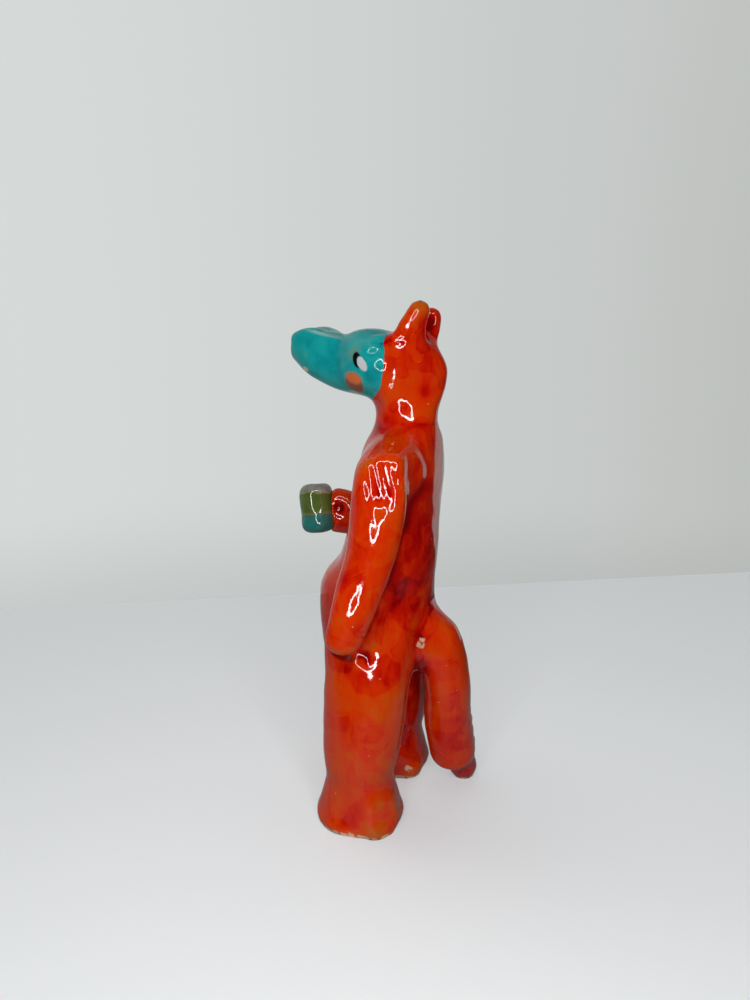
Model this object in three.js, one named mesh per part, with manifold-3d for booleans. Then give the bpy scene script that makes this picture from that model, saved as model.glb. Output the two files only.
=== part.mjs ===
// Crocodile in a hooded suit: a hand-built ceramic figurine of clay rolls and pads joined with slip.
// Millimetres, +Z up. The figure faces -Y, so its left hand is on +X.
import * as THREE from "three";
import { mergeVertices } from "three/addons/utils/BufferGeometryUtils.js";
import Module from "manifold-3d";

const wasm = await Module();
wasm.setup();

// Driving dimensions

// slip seam left between two joined pieces of clay
const SLIP_GAP = 0.3;

// torso
const HIP_HEIGHT = 74;
const HIP_WIDTH = 60;
const BELLY_DEPTH = 48;
const BELLY_RISE = 27;
const WAIST_RISE = 40;
const CHEST_RISE = 58;
const CHEST_WIDTH = 56;
const CHEST_DEPTH = 36;
const SHOULDER_RISE = 74;
const SHOULDER_WIDTH = 61;
const COLLAR_RISE = 90;
const COLLAR_WIDTH = 52;
const NECK_RISE = 97;
const NECK_WIDTH = 28;
const BACK_LEAN = 13;

// legs and feet
const LEG_SPACING = 46;
const LEG_WIDTH = 33;
const LEG_DEPTH = 36;
const ANKLE_WIDTH = 30;
const ANKLE_DEPTH = 29;
const FOOT_WIDTH = 39;
const FOOT_LENGTH = 39;
const FOOT_HEIGHT = 12;
const HEEL_SPREAD = 16;
const HEEL_WIDTH = 19;
const ANKLE_FLARE = 3;
const HIP_BLEND = 18;
const RIGHT_STEP = 2.5;

// head
const HEAD_RISE = 22;
const HEAD_WIDTH = 30.5;
const HEAD_DEPTH = 27;
const HEAD_HEIGHT = 32;
const BROW_WIDTH = 31;
const SNOUT_LENGTH = 54;
const SNOUT_WIDTH = 20;
const SNOUT_HEIGHT = 23;
const NOSE_WIDTH = 22;
const NOSE_HEIGHT = 19.5;
const NOSE_LIFT = 8;
const NOSTRIL_SPACING = 13;
const NOSTRIL_SWELL = 6.8;
const NOSE_FURROW = 3.5;

// ears
const EAR_SPACING = 17;
const EAR_WIDTH = 13;
const EAR_HEIGHT = 20;
const EAR_THICKNESS = 7.5;
const EAR_HOLLOW = 3;
const RIGHT_EAR_DROP = 2.5;

// arms
const ARM_WIDTH = 17;
const ARM_DEPTH = 23.5;
const HAND_WIDTH = 14;
const HAND_DEPTH = 15;
const ELBOW_SPREAD = 11;
const ELBOW_DROP = 30;
const HAND_DROP = 68;
const HAND_SWING = 12;
const HAND_SPREAD = 5;
const REACH = 44.5;
const GRIP_HEIGHT = 22;
const GRIP_DROP = 32;

// cup
const CUP_WIDTH = 15.2;
const CUP_HEIGHT = 22.6;
const CUP_EDGE = 5;
const CUP_DISH = 0.8;
const CUP_LEAN = 9;
const CUP_TIP = 12;

// tail
const TAIL_ROOT = 23;
const TAIL_WIDTH = 20;
const TAIL_TIP = 13;
const TAIL_SETBACK = 32;
const TAIL_DRIFT = 14;
const TAIL_CURL = 10;
const SCUTE_COUNT = 5;
const SCUTE_SIZE = 4.4;
const SCUTE_SPAN = 26;

// Solids

// the closed body of a three.js geometry
function solid(geometry) {
  const bare = geometry.clone();
  bare.deleteAttribute("normal");
  bare.deleteAttribute("uv");
  const welded = mergeVertices(bare, 1e-4);
  const corners = welded.index.array;
  const faces = [];
  for (let i = 0; i < corners.length; i += 3) {
    const [a, b, c] = [corners[i], corners[i + 1], corners[i + 2]];
    if (a !== b && b !== c && c !== a) faces.push(a, b, c);
  }
  const vertProperties = new Float32Array(welded.attributes.position.array);
  return new wasm.Manifold(new wasm.Mesh({ numProp: 3, vertProperties, triVerts: new Uint32Array(faces) }));
}

// A roll of clay drawn along a spine, with an oval section at each station.
// Each station is [x, y, z, half width, half depth]; the width lies along the side direction.
// A level roll keeps every section flat, as in an upright slab-sided body.
function roll(stations, { sides = 20, rings = 12, domes = [8, 8], side = [1, 0, 0], level = false, grow = 0 }) {
  const spine = new THREE.CatmullRomCurve3(stations.map((s) => new THREE.Vector3(s[0], s[1], s[2])));
  const girth = new THREE.CatmullRomCurve3(stations.map((s) => new THREE.Vector3(s[3], s[4], 0)));
  spine.curveType = "catmullrom";
  girth.curveType = "catmullrom";
  const climb = new THREE.Vector3(0, 0, Math.sign(stations.at(-1)[2] - stations[0][2]));
  const geometry = new THREE.CapsuleGeometry(1, 1, 4, sides, rings);
  const place = geometry.attributes.position;
  const v = new THREE.Vector3();
  for (let i = 0; i < place.count; i++) {
    v.fromBufferAttribute(place, i);
    const t = THREE.MathUtils.clamp(v.y, -0.5, 0.5) + 0.5;
    const beyond = v.y < -0.5 ? v.y + 0.5 : Math.max(v.y - 0.5, 0);
    const dome = (beyond < 0 ? domes[0] : domes[1]) + grow;
    const along = level ? climb : spine.getTangent(t);
    const wide = new THREE.Vector3(...side).addScaledVector(along, -along.dot(new THREE.Vector3(...side)));
    wide.normalize();
    const deep = new THREE.Vector3().crossVectors(wide, along);
    const half = girth.getPoint(t);
    const point = spine.getPoint(t);
    point.addScaledVector(along, beyond * dome);
    point.addScaledVector(wide, v.x * (half.x + grow));
    point.addScaledVector(deep, v.z * (half.y + grow));
    place.setXYZ(i, point.x, point.y, point.z);
  }
  return solid(geometry);
}

// an egg-shaped lump with its three half sizes, centred on a point
function lump(center, halves, { sides = 20, rings = 12, tilt = 0 }) {
  const geometry = new THREE.SphereGeometry(1, sides, rings);
  geometry.scale(...halves);
  geometry.rotateX(tilt);
  geometry.translate(...center);
  return solid(geometry);
}

// the largest body left after a piece is cut by its neighbours
function cut(body, ...neighbours) {
  let left = body;
  for (const other of neighbours) left = left.subtract(other);
  const bodies = left.decompose();
  return bodies.reduce((best, next) => (next.volume() > best.volume() ? next : best));
}

// everything below the table, so that soles end flat
const table = new THREE.BoxGeometry(400, 400, 60);
table.translate(0, 0, -30);
const belowTable = solid(table);

// Torso: a thick roll, full at the belly and leaning back to the neck
const torsoStations = [
  [0, 2, HIP_HEIGHT, HIP_WIDTH / 2, BELLY_DEPTH / 2 - 0.5],
  [0, 1.5, HIP_HEIGHT + BELLY_RISE, HIP_WIDTH / 2 - 1, BELLY_DEPTH / 2 + 0.5],
  [0, BACK_LEAN - 6.5, HIP_HEIGHT + WAIST_RISE, CHEST_WIDTH / 2 + 0.5, (BELLY_DEPTH + CHEST_DEPTH) / 4 - 0.5],
  [0, BACK_LEAN - 3.5, HIP_HEIGHT + CHEST_RISE, CHEST_WIDTH / 2, CHEST_DEPTH / 2],
  [0, BACK_LEAN - 1.5, HIP_HEIGHT + SHOULDER_RISE, SHOULDER_WIDTH / 2, CHEST_DEPTH / 2 - 1],
  [0, BACK_LEAN, HIP_HEIGHT + COLLAR_RISE, COLLAR_WIDTH / 2, CHEST_DEPTH / 2 - 3],
  [0, BACK_LEAN + 1.5, HIP_HEIGHT + NECK_RISE, NECK_WIDTH / 2, NECK_WIDTH / 2 - 1],
];
const torsoShape = { sides: 28, rings: 18, domes: [16, 3], level: true };
const torsoBody = roll(torsoStations, torsoShape);
const torsoRoom = roll(torsoStations, { ...torsoShape, grow: SLIP_GAP });

// Hood: the neck roll with the round back of the head
const headY = BACK_LEAN + 3;
const headZ = HIP_HEIGHT + NECK_RISE + HEAD_RISE;
const hoodStations = [
  [0, BACK_LEAN + 1, HIP_HEIGHT + NECK_RISE - 3, NECK_WIDTH / 2, NECK_WIDTH / 2 - 1],
  [0, BACK_LEAN + 1, headZ - HEAD_HEIGHT / 2, NECK_WIDTH / 2, NECK_WIDTH / 2 - 1],
  [0, headY, headZ - 1, HEAD_WIDTH / 2, HEAD_DEPTH / 2],
  [0, headY - 2, headZ + HEAD_HEIGHT / 4, HEAD_WIDTH / 2 - 2, HEAD_DEPTH / 2 - 1.5],
];
const hoodShape = { sides: 24, rings: 9, domes: [4, HEAD_HEIGHT / 4 - 1], level: true };
const hoodBody = cut(roll(hoodStations, hoodShape), torsoRoom);
const hoodRoom = roll(hoodStations, { ...hoodShape, grow: SLIP_GAP });

// Face: a tapering roll with a lifted nose, pressed along the top between the nostrils
const browY = headY - HEAD_DEPTH / 2;
const noseY = headY - SNOUT_LENGTH + 5;
const faceStations = [
  [0, browY + 5, headZ + 1, HEAD_WIDTH / 2 - 0.8, HEAD_HEIGHT / 2 - 2.5],
  [0, browY - 6, headZ + 2, BROW_WIDTH / 2, HEAD_HEIGHT / 2 - 2],
  [0, browY - SNOUT_LENGTH * 0.31, headZ + 2, SNOUT_WIDTH / 2, SNOUT_HEIGHT / 2],
  [0, noseY + 8, headZ + NOSE_LIFT - 2, NOSE_WIDTH / 2, NOSE_HEIGHT / 2 + 0.7],
  [0, noseY + 0.5, headZ + NOSE_LIFT + 1, NOSE_WIDTH / 2 - 2.2, NOSE_HEIGHT / 2 - 2.2],
];
const faceShape = { sides: 22, rings: 14, domes: [2, 4] };
const furrow = lump(
  [0, noseY + 7, headZ + NOSE_LIFT + NOSE_HEIGHT / 2 + 1.5],
  [NOSE_FURROW, 17, 5],
  { sides: 12, rings: 12, tilt: -0.1 },
);
const noseTop = headZ + NOSE_LIFT + NOSE_HEIGHT / 2;
function nostril(hand) {
  const x = hand * NOSTRIL_SPACING / 2;
  const half = NOSTRIL_SWELL / 2;
  const stations = [
    [x - hand, noseY, noseTop - half - 2.6, half - 0.4, half - 0.4],
    [x, noseY + 8, noseTop - half - 1, half, half],
    [x - hand * 1.5, noseY + 19, headZ + 2 + SNOUT_HEIGHT / 2 - half - 0.6, half - 0.8, half - 0.8],
  ];
  return roll(stations, { sides: 10, rings: 8, domes: [2.5, 2.5] });
}
const snout = roll(faceStations, faceShape).add(nostril(1)).add(nostril(-1));
const faceBody = cut(snout, hoodRoom, furrow);
const faceRoom = roll(faceStations, { ...faceShape, grow: SLIP_GAP });

// Ears: pads pulled up from the hood, leaning back, with a thumbed hollow on the inner side
function ear(hand) {
  const x = hand * EAR_SPACING / 2;
  const base = headZ + HEAD_HEIGHT / 4 - (hand < 0 ? RIGHT_EAR_DROP : 0);
  const stations = [
    [x, headY - 0.5, base, EAR_WIDTH / 2 + 1, EAR_THICKNESS / 2],
    [x, headY + 2, base + EAR_HEIGHT * 0.38, EAR_WIDTH / 2, EAR_THICKNESS / 2],
    [x, headY + 4.2, base + EAR_HEIGHT * 0.7, EAR_WIDTH / 2 - 2, EAR_THICKNESS / 2 - 0.5],
  ];
  const pad = roll(stations, { sides: 16, rings: 7, domes: [2, EAR_HEIGHT * 0.26], side: [0, 1, 0] });
  const inside = hand * (EAR_SPACING / 2 - EAR_THICKNESS / 2 - 1);
  const hollow = lump(
    [inside, headY + 3, base + EAR_HEIGHT * 0.52],
    [EAR_HOLLOW + 1, EAR_WIDTH / 2 - 2.5, EAR_HEIGHT * 0.4],
    { sides: 14, rings: 10, tilt: -0.25 },
  );
  return cut(pad, hollow, hoodRoom, faceRoom);
}

// Feet: flat pads, wider than the ankle, with a heel corner drawn out to the left side;
// the right one stands a little forward
function standY(hand) {
  return hand > 0 ? 1.5 : 1.5 - RIGHT_STEP;
}
function footStations(hand) {
  const x = hand * LEG_SPACING / 2;
  const y = standY(hand);
  return [
    [x, y, -3, FOOT_WIDTH / 2 - 1, FOOT_LENGTH / 2 - 1],
    [x, y, FOOT_HEIGHT * 0.42, FOOT_WIDTH / 2, FOOT_LENGTH / 2],
  ];
}
function heelStations(hand) {
  const x = hand * LEG_SPACING / 2 + HEEL_SPREAD / 2;
  const y = standY(hand) + FOOT_LENGTH / 2 - HEEL_WIDTH / 2;
  return [
    [x, y, -3, HEEL_WIDTH / 2 - 1, HEEL_WIDTH / 2 - 1],
    [x, y, FOOT_HEIGHT * 0.42, HEEL_WIDTH / 2, HEEL_WIDTH / 2],
  ];
}
const footShape = { sides: 24, rings: 3, domes: [2, FOOT_HEIGHT * 0.4], level: true };
const heelShape = { sides: 14, rings: 3, domes: [2, FOOT_HEIGHT * 0.35], level: true };
function sole(hand, grow) {
  const pad = roll(footStations(hand), { ...footShape, grow });
  return pad.add(roll(heelStations(hand), { ...heelShape, grow }));
}

// Legs: short thick rolls from the hips down to the foot pads
function legStations(hand) {
  const x = hand * LEG_SPACING / 2;
  const y = standY(hand);
  return [
    [x * 0.52, 4, HIP_HEIGHT + HIP_BLEND, LEG_WIDTH / 2 - 1, LEG_DEPTH / 2 + 1.5],
    [x * 0.78, 3.5, HIP_HEIGHT, LEG_WIDTH / 2, LEG_DEPTH / 2 + 1],
    [x * 0.95, y + 2, HIP_HEIGHT * 0.74, LEG_WIDTH / 2, LEG_DEPTH / 2],
    [x, y + 0.5, HIP_HEIGHT * 0.42, LEG_WIDTH / 2 - 0.5, LEG_DEPTH / 2 - 1.5],
    [x, y, FOOT_HEIGHT * 1.6, ANKLE_WIDTH / 2, ANKLE_DEPTH / 2],
    [x, y, FOOT_HEIGHT * 0.72, ANKLE_WIDTH / 2 + ANKLE_FLARE, ANKLE_DEPTH / 2 + ANKLE_FLARE],
  ];
}
const legShape = { sides: 22, rings: 12, domes: [5, 3], level: true };

function leg(hand) {
  return cut(roll(legStations(hand), legShape), torsoRoom, sole(hand, SLIP_GAP));
}
function foot(hand) {
  return cut(sole(hand, 0), belowTable);
}

// Cup: a small solid tumbler with soft edges and a slightly dished top
const shoulderX = CHEST_WIDTH / 2 - 3;
const shoulderZ = HIP_HEIGHT + SHOULDER_RISE + 9;
const gripX = -(shoulderX - 4);
const gripY = BACK_LEAN - REACH;
const gripZ = shoulderZ - GRIP_DROP;
function cup(grow) {
  const outer = CUP_WIDTH / 2 + grow;
  const half = CUP_HEIGHT / 2 + grow;
  const line = new THREE.Path();
  line.moveTo(0, -half);
  line.lineTo(outer - CUP_EDGE, -half);
  line.quadraticCurveTo(outer, -half, outer, CUP_EDGE - half);
  line.lineTo(outer, half - CUP_EDGE);
  line.quadraticCurveTo(outer, half, outer - CUP_EDGE, half);
  line.lineTo(0, half - CUP_DISH);
  const geometry = new THREE.LatheGeometry(line.getPoints(5), 26);
  geometry.rotateX(Math.PI / 2);
  geometry.rotateX(THREE.MathUtils.degToRad(CUP_LEAN));
  geometry.rotateY(THREE.MathUtils.degToRad(-CUP_TIP));
  geometry.translate(gripX, gripY - CUP_WIDTH / 2 + 2.4, gripZ);
  return solid(geometry);
}
const cupBody = cup(0);
const cupRoom = cup(SLIP_GAP);

// Arms: rolls pressed on at the shoulders; the left hangs to the hip, the right holds the cup
const elbowX = shoulderX + ELBOW_SPREAD;
const leftArmStations = [
  [shoulderX - 3, BACK_LEAN + 1, shoulderZ + 6, ARM_WIDTH / 2 - 1.5, ARM_DEPTH / 2 - 1.5],
  [elbowX - 5.5, BACK_LEAN + 1, shoulderZ - 2, ARM_WIDTH / 2, ARM_DEPTH / 2],
  [elbowX, BACK_LEAN - 1, shoulderZ - ELBOW_DROP, ARM_WIDTH / 2, ARM_DEPTH / 2 - 2],
  [elbowX + HAND_SPREAD * 0.7, BACK_LEAN - HAND_SWING * 0.6, (shoulderZ * 2 - ELBOW_DROP - HAND_DROP) / 2, ARM_WIDTH / 2 - 1,
    (ARM_DEPTH + HAND_DEPTH) / 4 - 1.2],
  [elbowX + HAND_SPREAD, BACK_LEAN - HAND_SWING, shoulderZ - HAND_DROP, HAND_WIDTH / 2, HAND_DEPTH / 2],
];
const rightArmStations = [
  [-shoulderX + 3, BACK_LEAN + 1, shoulderZ + 6, ARM_WIDTH / 2 - 1.5, ARM_DEPTH / 2 - 1.5],
  [-elbowX + 5.5, BACK_LEAN - 2, shoulderZ - 4, ARM_WIDTH / 2, ARM_DEPTH / 2 - 1],
  [-elbowX - 1, BACK_LEAN - REACH * 0.3, shoulderZ - ELBOW_DROP, ARM_WIDTH / 2, ARM_DEPTH / 2 - 1],
  [-elbowX + 6, BACK_LEAN - REACH * 0.68, gripZ - 3, ARM_WIDTH / 2 - 0.5, GRIP_HEIGHT / 2 - 1],
  [gripX - 3.2, gripY + 2.6, gripZ - 1, HAND_WIDTH / 2, GRIP_HEIGHT / 2],
];
const armShape = { sides: 18, rings: 14, domes: [5, 6.5] };

// Tail: a roll from the lower back to the table, drifting to the right, its tip curled under
const tailStations = [
  [0, TAIL_SETBACK - 18, HIP_HEIGHT + 8, TAIL_ROOT / 2, TAIL_ROOT / 2],
  [-1, TAIL_SETBACK - 4, HIP_HEIGHT + 3, TAIL_ROOT / 2 - 0.5, TAIL_ROOT / 2 - 0.5],
  [-TAIL_DRIFT * 0.25, TAIL_SETBACK + 0.5, HIP_HEIGHT * 0.78, TAIL_WIDTH / 2, TAIL_WIDTH / 2],
  [-TAIL_DRIFT * 0.6, TAIL_SETBACK + 1, HIP_HEIGHT * 0.46, TAIL_WIDTH / 2, TAIL_WIDTH / 2],
  [-TAIL_DRIFT, TAIL_SETBACK + 2, TAIL_WIDTH * 0.74, TAIL_WIDTH / 2, TAIL_WIDTH / 2],
];
const tailShape = { sides: 18, rings: 16, domes: [4, TAIL_WIDTH * 0.24], side: [0, 1, 0] };
const tipStations = [
  [-TAIL_DRIFT - 1, TAIL_SETBACK + 4, TAIL_WIDTH * 0.7, TAIL_TIP / 2, TAIL_TIP / 2],
  [-TAIL_DRIFT - TAIL_CURL * 0.6, TAIL_SETBACK + 5.5, TAIL_TIP * 0.44, TAIL_TIP / 2, TAIL_TIP / 2],
  [-TAIL_DRIFT - TAIL_CURL, TAIL_SETBACK + 5.5, TAIL_TIP * 0.28, TAIL_TIP / 2 - 1, TAIL_TIP / 2 - 1],
];
const tip = roll(tipStations, { sides: 14, rings: 6, domes: [2, 4], side: [0, 1, 0] });
let tailRoll = roll(tailStations, tailShape).add(tip);

// Scutes: low pellets pinched along the outer edge of the tail, just above its bend
const bend = tailStations[4];
const above = tailStations[3];
const edge = new THREE.Vector3(-0.6, 0.8, 0);
for (let i = 0; i < SCUTE_COUNT; i++) {
  const rise = (SCUTE_SPAN * i) / (SCUTE_COUNT - 1) / (above[2] - bend[2]);
  const x = THREE.MathUtils.lerp(bend[0], above[0], rise) + edge.x * TAIL_WIDTH / 2;
  const y = THREE.MathUtils.lerp(bend[1], above[1], rise) + edge.y * TAIL_WIDTH / 2;
  const z = THREE.MathUtils.lerp(bend[2], above[2], rise);
  const half = SCUTE_SIZE / 2;
  tailRoll = tailRoll.add(lump([x, y, z], [half * 0.8, half * 0.8, half], { sides: 10, rings: 6 }));
}

// Pieces in the order they are joined
const suit = { color: 0xc8400f, roughness: 0.16, metalness: 0 };
const teal = { color: 0x0b7c80, roughness: 0.16, metalness: 0 };
const green = { color: 0x55702c, roughness: 0.18, metalness: 0 };

const figure = new THREE.Group();
figure.name = "figure";

function piece(name, body, finish) {
  const mesh = body.getMesh();
  const geometry = new THREE.BufferGeometry();
  geometry.setAttribute("position", new THREE.Float32BufferAttribute(mesh.vertProperties, 3));
  geometry.setIndex(new THREE.Uint32BufferAttribute(mesh.triVerts, 1));
  geometry.computeVertexNormals();
  const part = new THREE.Mesh(geometry, new THREE.MeshStandardMaterial(finish));
  part.name = name;
  figure.add(part);
}

const leftLegRoom = roll(legStations(1), { ...legShape, grow: SLIP_GAP });
const rightLegRoom = roll(legStations(-1), { ...legShape, grow: SLIP_GAP });
const leftFootRoom = sole(1, SLIP_GAP);
const rightFootRoom = sole(-1, SLIP_GAP);
const rightArmBody = cut(roll(rightArmStations, armShape), torsoRoom, cupRoom);
const leftArmBody = cut(roll(leftArmStations, armShape), torsoRoom, leftLegRoom);
const tailBody = cut(
  tailRoll,
  torsoRoom,
  leftLegRoom,
  rightLegRoom,
  leftFootRoom,
  rightFootRoom,
  belowTable,
);

piece("torso", torsoBody, suit);
piece("left_leg", leg(1), suit);
piece("right_leg", leg(-1), suit);
piece("left_foot", foot(1), suit);
piece("right_foot", foot(-1), suit);
piece("tail", tailBody, suit);
piece("hood", hoodBody, suit);
piece("face", faceBody, teal);
piece("left_ear", ear(1), suit);
piece("right_ear", ear(-1), suit);
piece("left_arm", leftArmBody, suit);
piece("right_arm", rightArmBody, suit);
piece("cup", cupBody, green);

// the middle of the footprint, on the table, is the reference point
const box = new THREE.Box3().setFromObject(figure);
const middle = box.getCenter(new THREE.Vector3());
figure.position.set(-middle.x, -middle.y, -box.min.z);

const group = new THREE.Group();
group.name = "crocodile_figurine";
group.add(figure);

export default group;
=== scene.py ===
import math

import bmesh
import bpy
import numpy as np
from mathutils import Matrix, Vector, noise
from mathutils.bvhtree import BVHTree


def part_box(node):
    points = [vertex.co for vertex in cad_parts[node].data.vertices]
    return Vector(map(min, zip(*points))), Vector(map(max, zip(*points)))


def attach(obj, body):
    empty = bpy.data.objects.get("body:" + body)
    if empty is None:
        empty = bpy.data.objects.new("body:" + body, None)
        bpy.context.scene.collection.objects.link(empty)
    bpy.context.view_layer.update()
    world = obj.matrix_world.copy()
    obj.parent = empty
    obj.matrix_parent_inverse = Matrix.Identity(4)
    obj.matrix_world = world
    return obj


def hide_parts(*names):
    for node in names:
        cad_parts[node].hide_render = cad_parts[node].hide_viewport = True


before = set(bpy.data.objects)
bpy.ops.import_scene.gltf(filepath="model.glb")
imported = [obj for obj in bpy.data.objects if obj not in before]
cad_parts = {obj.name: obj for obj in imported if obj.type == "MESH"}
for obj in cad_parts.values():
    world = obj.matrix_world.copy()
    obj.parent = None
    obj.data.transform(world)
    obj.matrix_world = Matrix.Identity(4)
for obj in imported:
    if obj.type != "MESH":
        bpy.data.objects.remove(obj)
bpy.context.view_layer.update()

# Clay body
# The figure is built from rolls and pads of soft clay. Each piece is scored, stuck on with slip and
# smeared over with a thumb, so the joints are soft hollows and the skin keeps the dents of the fingers.

MM = 0.001
CLAY_PIECES = (
    "torso", "left_leg", "right_leg", "left_foot", "right_foot", "tail",
    "hood", "face", "left_ear", "right_ear", "left_arm", "right_arm",
)
LUMP = 1.4 * MM            # grain of the clay while the joints are smeared
GRAIN = 0.75 * MM          # size of one face of the finished skin
SLIP_SWELL = 1.3 * MM      # slip that fills the seam between two pieces
SLIP_KEPT = 0.18 * MM      # what is left of it when the clay has dried
THIN_SLIP = {"left_leg": 0.6 * MM, "right_leg": 0.6 * MM, "tail": 0.5 * MM}
DRYING_STEPS = 4
ARMPIT = 138.0 * MM        # below this height the arms are not smeared onto the body
SOLE_LAYER = 0.8 * MM      # clay that the table keeps flat

# joints that are smeared over, and how far the thumb reaches on either side, in mm
SMEARED = (
    ("torso", "left_leg", 11.0), ("torso", "right_leg", 11.0),
    ("left_leg", "left_foot", 6.5), ("right_leg", "right_foot", 6.5),
    ("torso", "hood", 8.0), ("torso", "tail", 6.0), ("left_leg", "tail", 2.5), ("right_leg", "tail", 2.5),
    ("torso", "left_arm", 11.0), ("torso", "right_arm", 11.0),
    ("hood", "face", 3.5), ("hood", "left_ear", 5.0), ("hood", "right_ear", 4.0), ("face", "left_ear", 4.0),
)
SMEAR_ROUNDS = 70
SMEAR_FULL = 0.35          # share of that reach that is pressed with full force
SMEAR_PAD = 13.0 * MM      # a little more than the farthest reach
ARMPIT_FADE = 14.0 * MM


def joined_pieces(swells):
    """One mesh of all the named pieces, each swollen by its slip."""
    points, faces = [], []
    for name, swell in swells.items():
        start = len(points)
        body = bmesh.new()
        body.from_mesh(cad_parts[name].data)
        bmesh.ops.remove_doubles(body, verts=body.verts, dist=1e-7)
        body.normal_update()
        body.verts.index_update()
        points += [v.co + v.normal * swell for v in body.verts]
        faces += [[start + v.index for v in f.verts] for f in body.faces]
        body.free()
    mesh = bpy.data.meshes.new("clay_rolls")
    mesh.from_pydata(points, [], faces)
    return mesh


def fused(mesh, grain):
    """The mesh grown together into one skin of even faces."""
    holder = bpy.data.objects.new("clay_rolls", mesh)
    bpy.context.scene.collection.objects.link(holder)
    knead = holder.modifiers.new("knead", "REMESH")
    knead.mode = "VOXEL"
    knead.voxel_size = grain
    skin = bpy.data.meshes.new_from_object(holder.evaluated_get(bpy.context.evaluated_depsgraph_get()))
    bpy.data.objects.remove(holder)
    bpy.data.meshes.remove(mesh)
    return skin


def skin_points(mesh):
    flat = np.empty(len(mesh.vertices) * 3)
    mesh.vertices.foreach_get("co", flat)
    return flat.reshape(-1, 3)


def skin_edges(mesh):
    flat = np.empty(len(mesh.edges) * 2, dtype=np.int64)
    mesh.edges.foreach_get("vertices", flat)
    return flat.reshape(-1, 2)


def relaxed(points, edges, weight, rounds, pull=0.5):
    """Values drawn towards the mean of their neighbours, as a thumb evens out clay."""
    count = len(points)
    near = np.bincount(edges.ravel(), minlength=count).astype(float)
    strength = (pull * np.asarray(weight, float) * np.ones(count))[:, None]
    for _ in range(rounds):
        total = np.empty_like(points)
        for axis in range(points.shape[1]):
            total[:, axis] = np.bincount(edges[:, 0], points[edges[:, 1], axis], count)
            total[:, axis] += np.bincount(edges[:, 1], points[edges[:, 0], axis], count)
        points = points + strength * (total / near[:, None] - points)
    return points


def skin_normals(mesh, points):
    mesh.vertices.foreach_set("co", points.ravel())
    mesh.update()
    flat = np.empty(len(mesh.vertices) * 3)
    mesh.vertex_normals.foreach_get("vector", flat)
    return flat.reshape(-1, 3)


def ease(low, high, value):
    part = np.clip((value - low) / (high - low), 0.0, 1.0)
    return part * part * (3.0 - 2.0 * part)


piece_trees = []
for name in CLAY_PIECES:
    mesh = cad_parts[name].data
    corners = [v.co for v in mesh.vertices]
    piece_trees.append(BVHTree.FromPolygons(corners, [p.vertices for p in mesh.polygons]))


def distances(points, pad):
    """How far each point lies from each piece, up to the pad."""
    reach = np.full((len(points), len(CLAY_PIECES)), 1.0)
    for column, tree in enumerate(piece_trees):
        low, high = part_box(CLAY_PIECES[column])
        inside = np.all((points > np.array(low) - pad) & (points < np.array(high) + pad), axis=1)
        for row in np.nonzero(inside)[0]:
            hit = tree.find_nearest(points[row], pad)
            if hit[3] is not None:
                reach[row, column] = hit[3]
    return reach


slip = {name: THIN_SLIP.get(name, SLIP_SWELL) for name in CLAY_PIECES}
rough = fused(joined_pieces(slip), LUMP)
clay = skin_points(rough)
edges = skin_edges(rough)
reach = distances(clay, SMEAR_PAD)
smear = np.zeros(len(clay))
for one, other, width in SMEARED:
    apart = np.maximum(reach[:, CLAY_PIECES.index(one)], reach[:, CLAY_PIECES.index(other)])
    press = 1.0 - ease(SMEAR_FULL * width * MM, width * MM, apart)
    if "arm" in other:
        press *= ease(ARMPIT, ARMPIT + ARMPIT_FADE, clay[:, 2])
    smear = np.maximum(smear, press)
clay = relaxed(clay, edges, smear, SMEAR_ROUNDS)

# slits too narrow for a finger are filled with slip, then the clay dries back to its size
SLIT_ROUNDS = 20
SLIT_DEPTH = (1.2 * MM, 2.2 * MM)      # where filling starts, and where a slit is filled whole
FILL_ROUNDS = 40
LOSS_ROUNDS = 6
DRYING_PULL = 0.7
DRYING_HEIGHT = (1.0 * MM, 6.0 * MM)   # over this height the hold of the table fades
slit = np.einsum("ij,ij->i", relaxed(clay, edges, 1.0, SLIT_ROUNDS) - clay, skin_normals(rough, clay))
clay = relaxed(clay, edges, ease(*SLIT_DEPTH, slit), FILL_ROUNDS)
loss = np.array([[slip[name] - SLIP_KEPT] for name in CLAY_PIECES])[np.argmin(reach, axis=1)]
loss = relaxed(loss, edges, 1.0, LOSS_ROUNDS)
for step in range(DRYING_STEPS):
    clay = clay - skin_normals(rough, clay) * (loss / DRYING_STEPS)
    clay = relaxed(clay, edges, DRYING_PULL * ease(*DRYING_HEIGHT, clay[:, 2]), 1)
rough.vertices.foreach_set("co", clay.ravel())
rough.update()

SKIN_PULL = (0.3, 0.7)                 # at the table, and how much more above it
SKIN_HEIGHT = (1.0 * MM, 5.0 * MM)
SKIN_ROUNDS = 5
skin = fused(rough, GRAIN)
clay = skin_points(skin)
edges = skin_edges(skin)
flat_sole = clay[:, 2] < SOLE_LAYER
pull = SKIN_PULL[0] + SKIN_PULL[1] * ease(*SKIN_HEIGHT, clay[:, 2])
clay = relaxed(clay, edges, pull, SKIN_ROUNDS)

# which piece each point belongs to, with the seams evened out
SEAM_PAD = 4.0 * MM
SEAM_ROUNDS = 8
reach = distances(clay, SEAM_PAD)
belongs = np.eye(len(CLAY_PIECES))[np.argmin(reach, axis=1)]
belongs = relaxed(belongs, edges, 1.0, SEAM_ROUNDS)
owner = np.argmax(belongs, axis=1)
face_owner = np.array([np.bincount(owner[list(p.vertices)]).argmax() for p in skin.polygons])

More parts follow.
